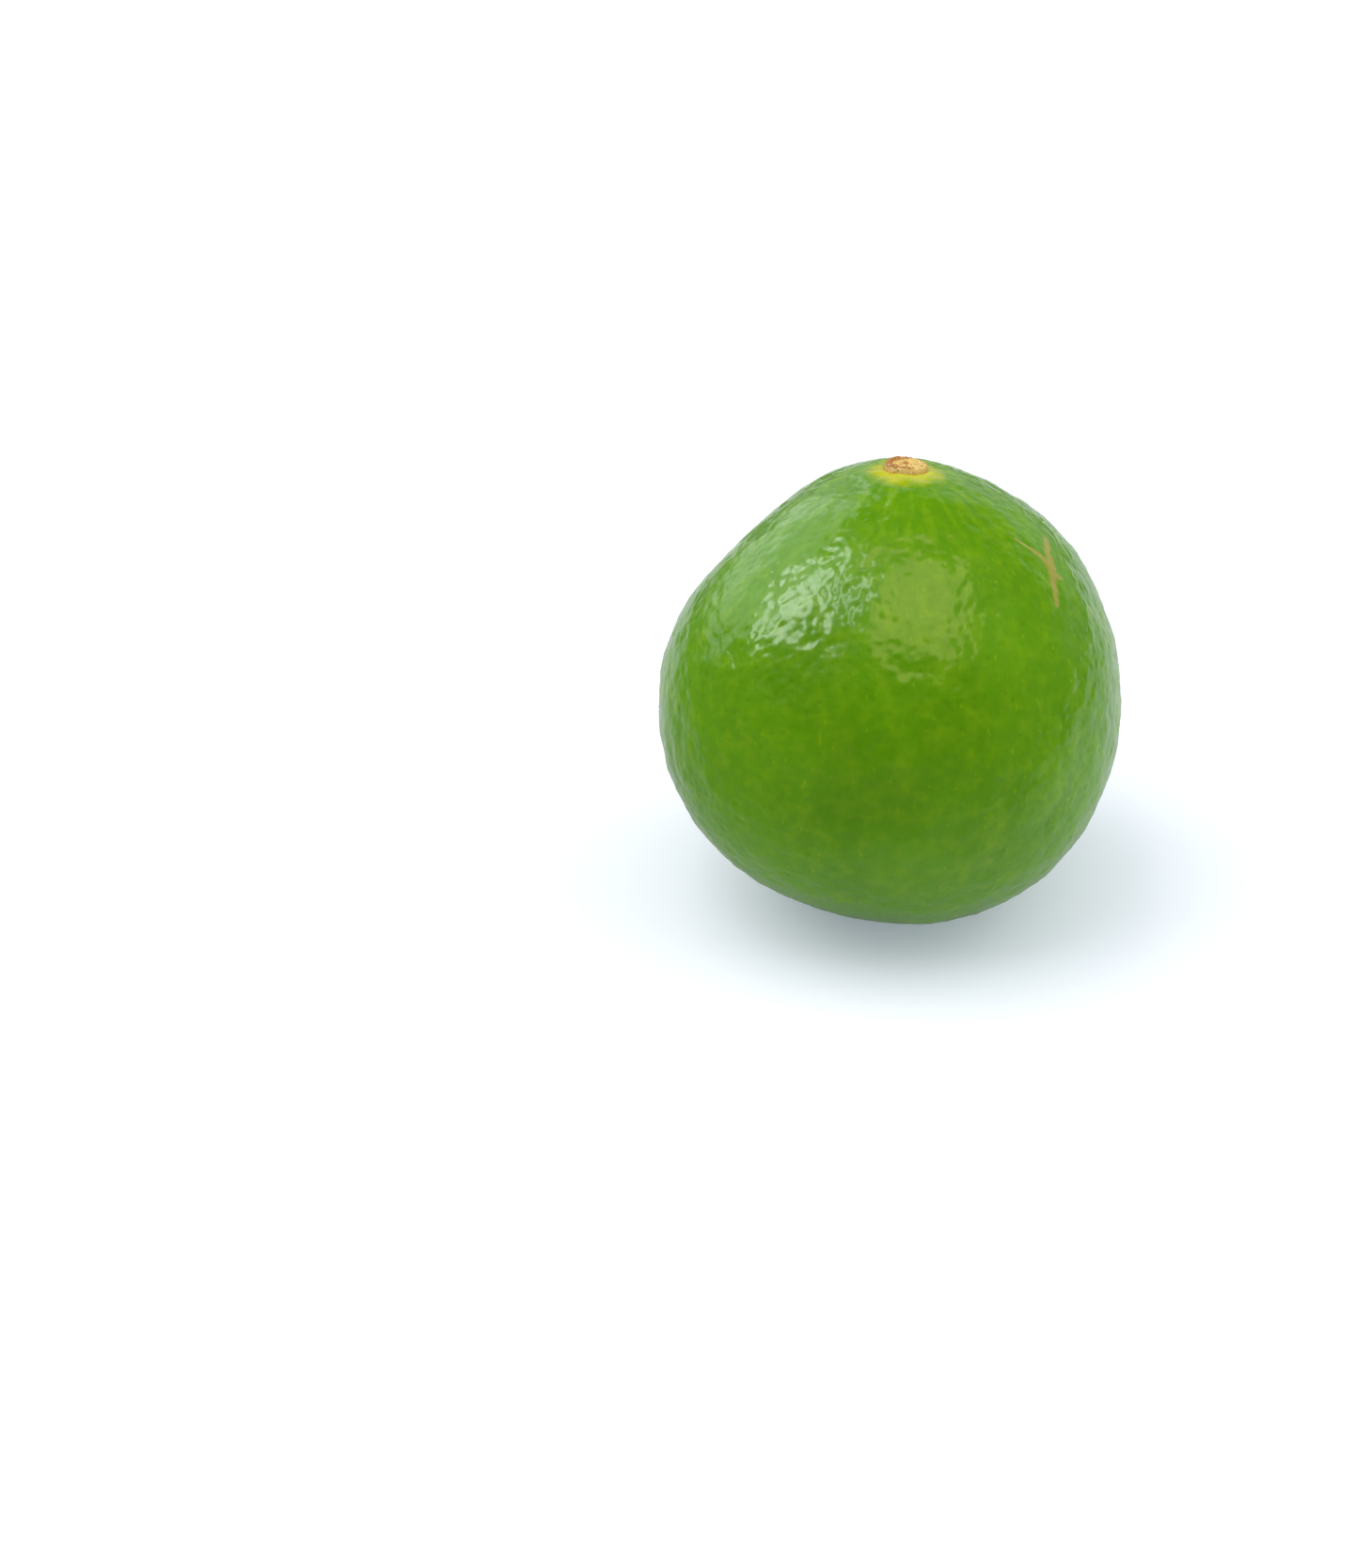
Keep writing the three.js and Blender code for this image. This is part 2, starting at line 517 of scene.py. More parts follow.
@dataclass(frozen=True)
class DryCork:
    """A dead calyx and the healed break of the stalk: brown at the rim, pale and pithy inside.

    It has no shine at all, and its crumbs are sharp, so it looks brittle beside the wax; its glints are
    painted highlights, pale specks among the crumbs.
    """

    pith: str = "#c8aa5a"
    bark: str = "#9c661a"
    scorched: str = "#70420e"
    # a highlight's colour, for the painted glints on the crumbs
    crumbs: str = "#f2e2b0"
    blotch_mm: float = 0.9
    grit_mm: float = 0.2
    grit_depth: float = 0.06 * MM
    roughness: float = 0.75

    def material(self) -> bpy.types.Material:
        """Builds the material.

        Returns:
            A material that reads Object coordinates and the button's own weathering mark.
        """
        cork = Dressing("dry_corky_calyx")
        weathering = add_node(cork.tree, "ShaderNodeAttribute", attribute_name=StemButton.WEATHERING)
        cork.known["weathering"] = weathering.outputs["Fac"]
        cork.add_patterns(
            ("blotches", "mm", 1 / self.blotch_mm, 4.0),
            ("grit", "mm", 1 / self.grit_mm, 3.0),
        )
        # The floor of the dish is pale pith, and what stands up has weathered brown.
        cork.work_out(
            ("worn", NUMBERS, "MULTIPLY_ADD", "blotches", 0.9, "weathering"),
            ("weathered", RAMPS, Ramp(0.55, 1.05, 0.0, 1.0), "worn"),
            ("burnt", RAMPS, Ramp(0.52, 0.72, 0.0, 0.75), "grit"),
            # Pale specks where the grit is low are painted highlights: glints on the crumbs.
            ("flaky", RAMPS, Ramp(0.28, 0.4, 0.8, 0.0, smooth=False), "grit"),
        )
        cork.lay_colours(
            self.pith, ("weathered", self.bark), ("burnt", self.scorched), ("flaky", self.crumbs)
        )
        inputs = {"Strength": 0.8, "Distance": self.grit_depth, "Height": cork.known["grit"]}
        bump = add_node(cork.tree, "ShaderNodeBump", inputs)
        shader = add_node(
            cork.tree,
            "ShaderNodeBsdfPrincipled",
            {
                "Base Color": cork.known["colour"],
                "Roughness": self.roughness,
                "IOR": 1.45,
                "Normal": bump,
            },
        )
        return cork.finished(shader)


@dataclass(frozen=True)
class LitAcrylic:
    """The white sheet that the fruit stands on, lit from below too, which keeps shadows pale.

    The wax only mirrors a pool of it, beside and behind the fruit, so the front stays deep green.
    """

    white: str = "#d3d4d6"
    glow_colour: str = "#e2eeff"
    glow: float = 0.3
    pool_middle: tuple[float, float, float] = (0.05, 0.12, 0.0)
    pool: Ramp = Ramp(0.12, 0.19, 0.68, 0.05)  # of its brightness, by metres from the middle

    def material(self) -> bpy.types.Material:
        """Builds the material.

        Returns:
            A material that reads Object coordinates, and whether a mirrored ray asks.
        """
        sheet = Dressing("lit_white_acrylic")
        sheet.work_out(
            ("out", VECTORS, "DISTANCE", "place", self.pool_middle),
            ("pool", RAMPS, self.pool, "out"),
        )
        path = add_node(sheet.tree, "ShaderNodeLightPath")
        inputs = {"Factor": path.outputs["Is Glossy Ray"], "A": 1.0, "B": sheet.known["pool"]}
        sheet.known["share"] = add_node(sheet.tree, "ShaderNodeMix", inputs, data_type="FLOAT")
        sheet.work_out(
            ("colour", VECTORS, "MULTIPLY", linear(self.white)[:3], "share"),
            ("glow", NUMBERS, "MULTIPLY", "share", self.glow),
        )
        matt = add_node(sheet.tree, "ShaderNodeBsdfDiffuse", {"Color": sheet.known["colour"]})
        inputs = {"Color": linear(self.glow_colour), "Strength": sheet.known["glow"]}
        lit = add_node(sheet.tree, "ShaderNodeEmission", inputs)
        return sheet.finished(add_node(sheet.tree, "ShaderNodeAddShader", {0: matt, 1: lit}))


# ---- The rind -------------------------------------------------------------------------------


@dataclass(frozen=True)
class WindScar:
    """A healed scratch, where a twig or leaf rubbed the young fruit.

    Attributes:
        path: polar angle and bearing of each of its points, in degrees.
        start: its half width at its first point.
        end: its half width at its last point.
    """

    path: tuple[tuple[float, float], ...]
    start: float
    end: float


class SkinTree(Workings):
    """The Geometry Nodes tree that grows the skin over the fruit's solid and pits it with glands."""

    KINDS: ClassVar[tuple[tuple[type, str], ...]] = (
        (bpy.types.Object, "NodeSocketObject"),
        (bpy.types.Material, "NodeSocketMaterial"),
        (tuple, "NodeSocketVector"),
        (int, "NodeSocketInt"),
        (float, "NodeSocketFloat"),
    )

    def __init__(self, values: dict[str, Any]) -> None:
        """Starts the tree with its inputs and with what the rest of it reads.

        Args:
            values: the value of each input, by name, which says what kind of input it is.
        """
        super().__init__(bpy.data.node_groups.new("lime_rind_growth", "GeometryNodeTree"))
        interface = self.tree.interface
        for name, value in values.items():
            kind = next(socket for family, socket in self.KINDS if isinstance(value, family))
            interface.new_socket(name, in_out="INPUT", socket_type=kind)
        interface.new_socket("Geometry", in_out="OUTPUT", socket_type="NodeSocketGeometry")
        given = add_node(self.tree, "NodeGroupInput").outputs
        self.known.update({name: given[name] for name in values})
        self.known["position"] = add_node(self.tree, "GeometryNodeInputPosition")
        for name, kind in (("outward", "FLOAT_VECTOR"), ("reach", "FLOAT")):
            self.known[name] = add_node(
                self.tree, "GeometryNodeInputNamedAttribute", {"Name": name}, data_type=kind
            )
        self.work_out(
            ("across", VECTORS, "CROSS_PRODUCT", "outward", "stem"),
            ("sine", VECTORS, "LENGTH", "across"),
            ("from_stem", NUMBERS, "MULTIPLY", "sine", "reach"),
            ("upward", VECTORS, "DOT_PRODUCT", "outward", "stem"),
            ("stem_half", NUMBERS, "GREATER_THAN", "upward", 0.0),
            ("style_half", NUMBERS, "SUBTRACT", 1.0, "stem_half"),
        )

    def build(self) -> bpy.types.NodeTree:
        """Builds the tree.

        Returns:
            The tree, which gives the skin as one mesh with its finish.
        """
        skin = self.place(self.cast())
        marked = self.pit(skin, self.scatter(skin))
        self.add_waves()
        self.work_out(
            ("raised", NUMBERS, "SUBTRACT", "waves", "pit"),
            ("offset", VECTORS, "MULTIPLY", "outward", "raised"),
        )
        geometry = marked
        for kind, inputs in (
            ("GeometryNodeSetPosition", {"Offset": self.known["offset"]}),
            ("GeometryNodeRealizeInstances", {}),
            ("GeometryNodeSetMaterial", {"Material": self.known["rind"]}),
            ("NodeGroupOutput", {}),
        ):
            geometry = add_node(self.tree, kind, {"Geometry": geometry, **inputs})
        return self.tree

    def cast(self) -> bpy.types.Node:
        """Blows a cube with even cells up round the middle, and casts rays from there to the solid.

        Returns:
            The cube, whose points know which way they go, and how far off the surface is.
        """
        side = self.known["points_a_side"]
        sides = {"Size": (2, 2, 2), "Vertices X": side, "Vertices Y": side, "Vertices Z": side}
        cube = add_node(self.tree, "GeometryNodeMeshCube", sides)
        self.work_out(
            ("turned", VECTORS, "MULTIPLY", "position", (math.pi / 4,) * 3),
            ("even", VECTORS, "TANGENT", "turned"),
            ("ball", VECTORS, "NORMALIZE", "even"),
            ("pull", VECTORS, "MULTIPLY", "stem", "stemward"),
            ("pulled", VECTORS, "ADD", "ball", "pull"),
            ("aim", VECTORS, "NORMALIZE", "pulled"),
        )
        aimed = add_node(
            self.tree,
            "GeometryNodeStoreNamedAttribute",
            {"Geometry": cube, "Name": "outward", "Value": self.known["aim"]},
            data_type="FLOAT_VECTOR",
            domain="POINT",
        )
        solid = add_node(
            self.tree, "GeometryNodeObjectInfo", {"Object": self.known["solid"]}, transform_space="ORIGINAL"
        )
        ray = add_node(
            self.tree,
            "GeometryNodeRaycast",
            {
                "Target Geometry": solid.outputs["Geometry"],
                "Source Position": self.known["middle"],
                "Ray Direction": self.known["outward"],
                "Ray Length": 1.0,
            },
        )
        return add_node(
            self.tree,
            "GeometryNodeStoreNamedAttribute",
            {"Geometry": aimed, "Name": "reach", "Value": ray.outputs["Hit Distance"]},
            data_type="FLOAT",
            domain="POINT",
        )

    def place(self, cast: bpy.types.Node) -> bpy.types.Node:
        """Puts the points on a smooth surface, without the seat that the solid has for the button.

        The skin dips under the button, so that the button sits in it and not on it.

        Args:
            cast: the points, which know how far off the solid's surface is.

        Returns:
            The smooth skin.
        """
        self.work_out(
            ("seat_radius", NUMBERS, "ADD", "button_radius", "seat_margin"),
            ("inside", NUMBERS, "LESS_THAN", "from_stem", "seat_radius"),
            ("seat", NUMBERS, "MULTIPLY", "inside", "stem_half"),
            ("button_share", NUMBERS, "DIVIDE", "from_stem", "button_radius"),
        )
        mended, smoothed = (
            add_node(
                self.tree,
                "GeometryNodeBlurAttribute",
                {"Value": self.known["reach"], "Iterations": self.known[steps], "Weight": weight},
                data_type="FLOAT",
            )
            for steps, weight in (("seat_steps", self.known["seat"]), ("smoothing_steps", 1.0))
        )
        whole = add_node(
            self.tree,
            "GeometryNodeStoreNamedAttribute",
            {"Geometry": cast, "Name": "reach", "Value": mended},
            data_type="FLOAT",
            domain="POINT",
        )
        self.known["smoothed"] = smoothed
        self.work_out(
            ("under", RAMPS, Ramp(0.7, 1.05, 1.0, 0.0), "button_share"),
            ("dip", NUMBERS, "MULTIPLY", "under", "dimple_depth"),
            ("stem_dip", NUMBERS, "MULTIPLY", "dip", "stem_half"),
            ("skin_reach", NUMBERS, "SUBTRACT", "smoothed", "stem_dip"),
            ("away", VECTORS, "MULTIPLY", "outward", "skin_reach"),
            ("place", VECTORS, "ADD", "away", "middle"),
        )
        inputs = {"Geometry": whole, "Position": self.known["place"]}
        return add_node(self.tree, "GeometryNodeSetPosition", inputs)

    def scatter(self, skin: bpy.types.Node) -> bpy.types.NodeSocket:
        """Scatters the oil glands' middles evenly, but not near the stem.

        Args:
            skin: the smooth skin.

        Returns:
            The glands' middles.
        """
        self.work_out(
            ("past_bare", NUMBERS, "SUBTRACT", "from_stem", "bare_radius"),
            ("covered", RAMPS, Ramp(0.0, self.known["bare_fade"], 0.0, 1.0), "past_bare"),
            ("thick", NUMBERS, "MAXIMUM", "covered", "style_half"),
            ("squared", NUMBERS, "MULTIPLY", "gland_spacing", "gland_spacing"),
            ("crowding", NUMBERS, "DIVIDE", "gland_tries", "squared"),
        )
        glands = add_node(
            self.tree,
            "GeometryNodeDistributePointsOnFaces",
            {
                "Mesh": skin,
                "Distance Min": self.known["gland_spacing"],
                "Density Max": self.known["crowding"],
                "Density Factor": self.known["thick"],
                "Seed": self.known["seed"],
            },
            distribute_method="POISSON",
        )
        return glands.outputs["Points"]

    def pit(self, skin: bpy.types.Node, glands: bpy.types.NodeSocket) -> bpy.types.Node:
        """Works out each gland's pit, every one a little deeper or shallower, wider or narrower.

        Args:
            skin: the smooth skin.
            glands: the glands' middles.

        Returns:
            The skin with the gland mark on it.
        """
        nearest = add_node(
            self.tree,
            "GeometryNodeSampleNearest",
            {"Geometry": glands, "Sample Position": self.known["position"]},
            domain="POINT",
        )
        self.known["gland"] = add_node(
            self.tree,
            "GeometryNodeSampleIndex",
            {"Geometry": glands, "Value": self.known["position"], "Index": nearest},
            data_type="FLOAT_VECTOR",
            domain="POINT",
        )
        smallest, seed = self.known["smallest_gland"], self.known["seed"]
        random = add_node(
            self.tree,
            "FunctionNodeRandomValue",
            {"Min": smallest, "Max": 1.0, "ID": nearest, "Seed": seed},
            data_type="FLOAT",
        )
        self.known["gland_size"] = random.outputs[1]
        self.work_out(("gland_reach", NUMBERS, "MULTIPLY", "gland_size", "gland_radius"))
        # A face reads one gland, so that the mark doesn't run from one gland to the next across it.
        for name, kind in (("gland", "FLOAT_VECTOR"), ("gland_reach", "FLOAT")):
            self.known[f"face_{name}"] = add_node(
                self.tree,
                "GeometryNodeFieldOnDomain",
                {"Value": self.known[name]},
                data_type=kind,
                domain="FACE",
            )
        self.work_out(
            ("from_gland", VECTORS, "SUBTRACT", "position", "face_gland"),
            ("per_reach", NUMBERS, "DIVIDE", 1.0, "face_gland_reach"),
            ("mark", VECTORS, "MULTIPLY", "from_gland", "per_reach"),
            ("distance", VECTORS, "DISTANCE", "position", "gland"),
            ("gland_share", NUMBERS, "DIVIDE", "distance", "gland_reach"),
            ("depth", NUMBERS, "MULTIPLY", "gland_size", "gland_depth"),
        )
        self.work_out(("pit", RAMPS, Ramp(0.0, 1.0, self.known["depth"], 0.0), "gland_share"))
        return add_node(
            self.tree,
            "GeometryNodeStoreNamedAttribute",
            {"Geometry": skin, "Name": Mark.GLAND.value, "Value": self.known["mark"]},
            data_type="FLOAT_VECTOR",
            domain="CORNER",
        )

    def add_waves(self) -> None:
        """Adds slow swells, quicker ripples and a fine dapple, which break up a highlight."""
        self.known["waves"] = 0.0
        for wave in ("swell", "ripple", "dapple"):
            self.work_out(("per_size", NUMBERS, "DIVIDE", 1.0, f"{wave}_size"))
            inputs = {"Vector": self.known["position"], "Scale": self.known["per_size"], "Detail": 1.0}
            self.known["rise"] = add_node(self.tree, "ShaderNodeTexNoise", inputs)
            self.work_out(
                ("above_mean", NUMBERS, "SUBTRACT", "rise", 0.5),
                ("share", NUMBERS, "DIVIDE", "above_mean", 0.25),  # it is mostly within that
                ("waves", NUMBERS, "MULTIPLY_ADD", "share", f"{wave}_height", "waves"),
            )


@dataclass
class Skin:
    """The fine skin that is grown over the fruit's solid: its sizes, each an input of the tree."""

    axis: StemAxis
    points_a_side: int = 129  # of the cube that the skin is blown up from
    stemward: float = 0.16  # how far the cells crowd towards the stem
    seat_margin: float = 1.2 * MM  # the skin is mended this far outside the button's seat
    seat_steps: int = 500
    smoothing_steps: int = 36  # over about a millimetre, which takes the solid's facets out
    dimple_depth: float = 0.55 * MM
    swell_height: float = 0.11 * MM
    swell_size: float = 5.5 * MM
    ripple_height: float = 0.06 * MM
    ripple_size: float = 2.0 * MM
    dapple_height: float = 0.04 * MM
    dapple_size: float = 0.9 * MM
    gland_spacing: float = 0.95 * MM
    gland_tries: float = 6.0  # for every spacing squared of skin, which leaves no gaps
    gland_radius: float = 0.5 * MM
    gland_depth: float = 0.05 * MM
    smallest_gland: float = 0.4  # of that radius and depth
    bare_radius: float = 3.4 * MM  # there are no glands this close to the stem
    bare_fade: float = 4.0 * MM  # and they come in over this far
    seed: int = 7

    def grow(self, material: bpy.types.Material) -> bpy.types.Mesh:
        """Grows the skin over a copy of the fruit's solid.

        Args:
            material: the rind's material.

        Returns:
            The skin as a plain mesh.
        """
        solid = put_in_scene("fruit_copy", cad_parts["fruit"].data.copy())
        values = {item.name: getattr(self, item.name) for item in fields(self) if item.name != "axis"}
        values.update(solid=solid, rind=material, button_radius=self.axis.button_radius)
        values.update(middle=tuple(self.axis.middle), stem=tuple(self.axis.along))
        tree = SkinTree(values).build()
        holder = put_in_scene("rind_holder", bpy.data.meshes.new("rind_holder"))
        modifier = holder.modifiers.new("grow", "NODES")
        modifier.node_group = tree
        for item in tree.interface.items_tree:
            if item.in_out == "INPUT":
                modifier[item.identifier] = values[item.name]
        bpy.context.view_layer.update()
        graph = bpy.context.evaluated_depsgraph_get()
        mesh = bpy.data.meshes.new_from_object(holder.evaluated_get(graph))
        for helper in (holder, solid):
            bpy.data.objects.remove(helper)
        mesh.name = "rind"
        return mesh


@dataclass
class Rind:
    """The whole skin of the fruit, as one closed mesh over the CAD solid."""

    axis: StemAxis
    pucker_height: float = 0.14 * MM
    pucker_length: float = 6.0 * MM  # along the skin, for the noise that makes them
    puckering: float = 2.6  # more gives more puckers round the stem
    puckers_start: tuple[float, float] = (0.9, 1.15)  # in button radii from the stem axis
    puckers_end: tuple[float, float] = (1.5, 3.4)
    style_off_axis: float = 8.5  # degrees
    style_radius: float = 0.55 * MM
    style_depth: float = 0.12 * MM
    growth_along: float = 0.45  # the growth mark runs this much slower along the skin than round it
    scars: tuple[WindScar, ...] = (
        WindScar(((39.6, -14.0), (42.3, -20.4), (45.3, -25.0)), 0.44 * MM, 0.76 * MM),
        WindScar(((45.3, -25.0), (49.3, -29.7), (54.2, -33.6)), 0.76 * MM, 0.4 * MM),
        WindScar(((35.1, -33.1), (38.4, -30.0), (41.9, -26.6), (44.4, -25.6)), 0.14 * MM, 0.56 * MM),
        WindScar(((46.9, -27.4), (48.6, -25.1), (50.1, -23.7)), 0.5 * MM, 0.16 * MM),
        WindScar(((71.0, 118.0), (74.5, 121.0), (77.0, 120.0)), 0.24 * MM, 0.34 * MM),
    )

    def build(self, finish: WaxyRind) -> bpy.types.Object:
        """Grows the skin, works its two ends and marks it for its finish.

        Args:
            finish: the rind's finish.

        Returns:
            The rind as a plain mesh object.
        """
        mesh = Skin(self.axis).grow(finish.material())
        self.work_the_ends(mesh)
        self.mark(mesh)
        mesh.shade_smooth()
        return put_in_scene("rind", mesh)

    def work_the_ends(self, mesh: bpy.types.Mesh) -> None:
        """Puckers the skin round the stem, sinks the style's scar and flattens the resting spot.

        Args:
            mesh: the skin, which is changed.
        """
        points = points_of(mesh)
        outward = points - self.axis.middle
        outward /= np.linalg.norm(outward, axis=1)[:, None]
        radius, height, bearing = self.axis.measured(points)
        share = radius / self.axis.button_radius
        pucker = smooth_step(share, *self.puckers_start) * (1 - smooth_step(share, *self.puckers_end))
        for i in np.flatnonzero((height > 0) & (pucker > 0)):
            along = self.puckering * radius[i] / self.pucker_length
            pucker[i] *= ring_noise(bearing[i], self.puckering, along)
        pucker[height <= 0] = 0
        points += outward * (pucker * self.pucker_height)[:, None]
        style = np.linalg.norm(points - self.style_place(points), axis=1)
        points -= outward * (bell(style / self.style_radius) * self.style_depth)[:, None]
        points[:, 2] = np.maximum(points[:, 2], 0)
        mesh.vertices.foreach_set("co", points.ravel())
        mesh.update()

    def style_place(self, points: np.ndarray) -> np.ndarray:
        """Returns the skin's vertex in the middle of the style's scar, off the axis towards -Y."""
        return self.skin_point(points, self.axis.direction(180 - self.style_off_axis, -90))

    def skin_point(self, points: np.ndarray, direction: np.ndarray) -> np.ndarray:
        """Finds the vertex of the skin that lies nearest to a direction from the middle.

        Args:
            points: the skin's vertices.
            direction: the unit vector of the direction.

        Returns:
            The vertex.
        """
        away = points - self.axis.middle
        facing = away @ direction / np.linalg.norm(away, axis=1)
        return points[np.argmax(facing)]

    def mark(self, mesh: bpy.types.Mesh) -> None:
        """Writes where each vertex is, for the rind's finish to read.

        Args:
            mesh: the skin, which gets the marks.
        """
        points = points_of(mesh)
        radius, height, bearing = self.axis.measured(points)
        polar = np.arctan2(radius, height)
        past_waist = 60.0
        growth = np.stack([np.cos(bearing), np.sin(bearing), polar * self.growth_along], axis=1)
        marks = {
            Mark.STEM_MM: np.where(height > 0, radius / MM, past_waist),
            Mark.STYLE_MM: np.linalg.norm(points - self.style_place(points), axis=1) / MM,
            Mark.CHAFE: self.chafe(points),
            Mark.GROWTH: growth,
        }
        for mark, values in marks.items():
            store(mesh, mark.value, values)
        for name in ("outward", "reach"):
            mesh.attributes.remove(mesh.attributes[name])

    def chafe(self, points: np.ndarray) -> np.ndarray:
        """Measures each point's distance from the nearest wind scar.

        Args:
            points: the skin's vertices.

        Returns:
            The distances, in half widths of the scar at that place.
        """
        far = 50.0
        nearest = np.full(len(points), far)
        for scar in self.scars:
            path = [self.skin_point(points, self.axis.direction(*angles)) for angles in scar.path]
            widths = np.linspace(scar.start, scar.end, len(path))
            for a, b, wide_a, wide_b in zip(path, path[1:], widths, widths[1:]):
                step = b - a
                share = np.clip((points - a) @ step / (step @ step), 0, 1)
                distance = np.linalg.norm(points - a - share[:, None] * step, axis=1)
                nearest = np.minimum(nearest, distance / (wide_a + (wide_b - wide_a) * share))
        return nearest


# ---- The stem button ------------------------------------------------------------------------


@dataclass
class StemButton:
    """The dried calyx: a shallow dish with a broken, lobed rim and the stub of the stalk."""

    WEATHERING: ClassVar[str] = "weathering"

    axis: StemAxis
    spokes: int = 220
    rings: int = 84
    floor_depth: float = 0.3 * MM  # below the rim
    rim_at: float = 0.84  # of the radius
    rim_width: float = 0.13
    stub_at: float = 0.2
    stub_height: float = 0.2 * MM
    lobes: int = 5
    lobe_depth: float = 0.06  # of the radius, between the sepals
    raggedness: float = 0.05  # of the radius
    crumb_height: float = 0.11 * MM
    ray_depth: float = 0.1 * MM  # of the grooves that run out from the middle
    rounding: float = 0.12 * MM  # that the top falls by at its edge
    skirt: float = 1.03  # how far the foot spreads, of the radius
    foot_below: float = 0.1 * MM  # under the CAD button's foot
    weather_side: float = 0.6  # in rim heights, how much browner the side towards -X is
    top_ends: float = 0.82  # along the section, from 0 at its middle to 1 at its end
    foot_starts: float = 0.95  # along the section
    edge_at: float = 0.985  # of the radius, where the top turns down
    rounded_from: float = 0.93  # of the radius, where the top starts to fall towards that
    rim_left: float = 0.85  # of the rim's height, on average
    rim_patchiness: float = 0.55  # of the rim's height, up or down round it
    first_ring: float = 0.004  # along the section, which keeps it off the middle

    def build(self, finish: DryCork) -> bpy.types.Object:
        """Builds the button as one closed mesh in its place on the fruit.

        Args:
            finish: the button's finish.

        Returns:
            The button.
        """
        points, weathering = self.surface()
        faces = []
        for ring in range(self.rings):
            for spoke in range(self.spokes):
                after = (spoke + 1) % self.spokes
                inner, outer = 1 + ring * self.spokes, 1 + (ring + 1) * self.spokes
                faces.append((inner + spoke, outer + spoke, outer + after, inner + after))
        last = 1 + self.rings * self.spokes
        under = last + self.spokes
        for spoke in range(self.spokes):
            after = (spoke + 1) % self.spokes
            faces.append((0, 1 + spoke, 1 + after))
            faces.append((last + after, last + spoke, under))
        mesh = bpy.data.meshes.new("stem_button_dry")
        mesh.from_pydata(points.tolist(), [], faces)
        store(mesh, self.WEATHERING, weathering)
        mesh.materials.append(finish.material())
        mesh.shade_smooth()
        return put_in_scene("stem_button_dry", mesh)

    def surface(self) -> tuple[np.ndarray, np.ndarray]:
        """Works out the button's points, from the middle of its dish out, down and under.

        Returns:
            The points, and for each how weathered it is: its height above the dish's floor in
            rim heights, and more on the side that the weather reached.
        """
        radius = self.axis.button_radius
        floor = self.axis.top - self.floor_depth
        foot = self.axis.bottom - self.foot_below
        places = [(0.0, 0.0, floor + self.relief(0.0, 0.0))]
        for ring in range(self.rings + 1):
            for spoke in range(self.spokes):
                bearing = 2 * math.pi * spoke / self.spokes
                share, height = self.profile(ring / self.rings, bearing, floor, foot)
                out = radius * self.outline(bearing) * share
                places.append((out * math.cos(bearing), out * math.sin(bearing), height))
        places.append((0.0, 0.0, foot))
        local = np.array(places)
        weathering = np.clip((local[:, 2] - floor) / self.floor_depth, -1, 2)
        weathering -= self.weather_side * local[:, 0] / radius
        basis = np.stack([self.axis.right, self.axis.back, self.axis.along])
        return self.axis.middle + local @ basis, weathering

    def outline(self, bearing: float) -> float:
        """Draws the button's lobed and ragged outline.

        Args:
            bearing: round the axis, in radians.

        Returns:
            The button's radius there, as a share of its largest.
        """
        between = (1 - math.cos(self.lobes * bearing)) / 2
        return 0.97 - self.lobe_depth * between + self.raggedness * ring_noise(bearing, 3.1, 0.93)

    def profile(self, t: float, bearing: float, floor: float, foot: float) -> tuple[float, float]:
        """Follows the button's section from the dish over the rim to the foot.

        Args:
            t: 0 at the middle of the dish and 1 at the end of the foot.
            bearing: round the axis, in radians.
            floor: the height of the dish's floor.
            foot: the height of the foot.

        Returns:
            The distance from the axis, as a share of the outline, and the height.
        """
        if t <= self.top_ends:
            share = (t + self.first_ring) / (self.top_ends + self.first_ring) * self.edge_at
            return share, floor + self.relief(share, bearing)
        edge = floor + self.relief(self.edge_at, bearing)
        if t <= self.foot_starts:
            part = (t - self.top_ends) / (self.foot_starts - self.top_ends)
            share = self.edge_at + (self.skirt - self.edge_at) * math.sin(part * math.pi / 2)
            return share, edge + (foot - edge) * part
        part = (t - self.foot_starts) / (1 - self.foot_starts)
        return self.skirt * (1 - 0.9 * part), foot

    def relief(self, share: float, bearing: float) -> float:
        """Works out the height above the dish's floor at a place on the button's top.

        Args:
            share: the distance from the axis, as a share of the outline.
            bearing: round the axis, in radians.

        Returns:
            The height, in metres.
        """
        rim = math.exp(-(((share - self.rim_at) / self.rim_width) ** 2))
        rim *= self.rim_left + self.rim_patchiness * ring_noise(bearing, 1.7, 5.2)
        stub = math.exp(-((share / self.stub_at) ** 4))
        place = Vector((share * math.cos(bearing), share * math.sin(bearing), 2.4)) * 4.5
        crumbs = noise.fractal(place, 0.6, 2.1, 4)
        rays = abs(ring_noise(bearing, 4.0, share * 1.3)) * share
        fall = max(0.0, (share - self.rounded_from) / (self.edge_at - self.rounded_from)) ** 2
        rise = self.floor_depth * rim + self.stub_height * stub + self.crumb_height * crumbs
        return rise - self.ray_depth * rays - self.rounding * fall


# ---- The studio -----------------------------------------------------------------------------


@dataclass(frozen=True)
class Pane:
    """One opening of a window, in a plane one unit away.

    Attributes:
        across: how far its middle is along the window's width.
        up: how far its middle is up the window.
        width: its own width.
        height: its own height.
    """

    across: float
    up: float
    width: float
    height: float


SQUARE = (Pane(0.0, 0.0, 1.0, 1.0),)


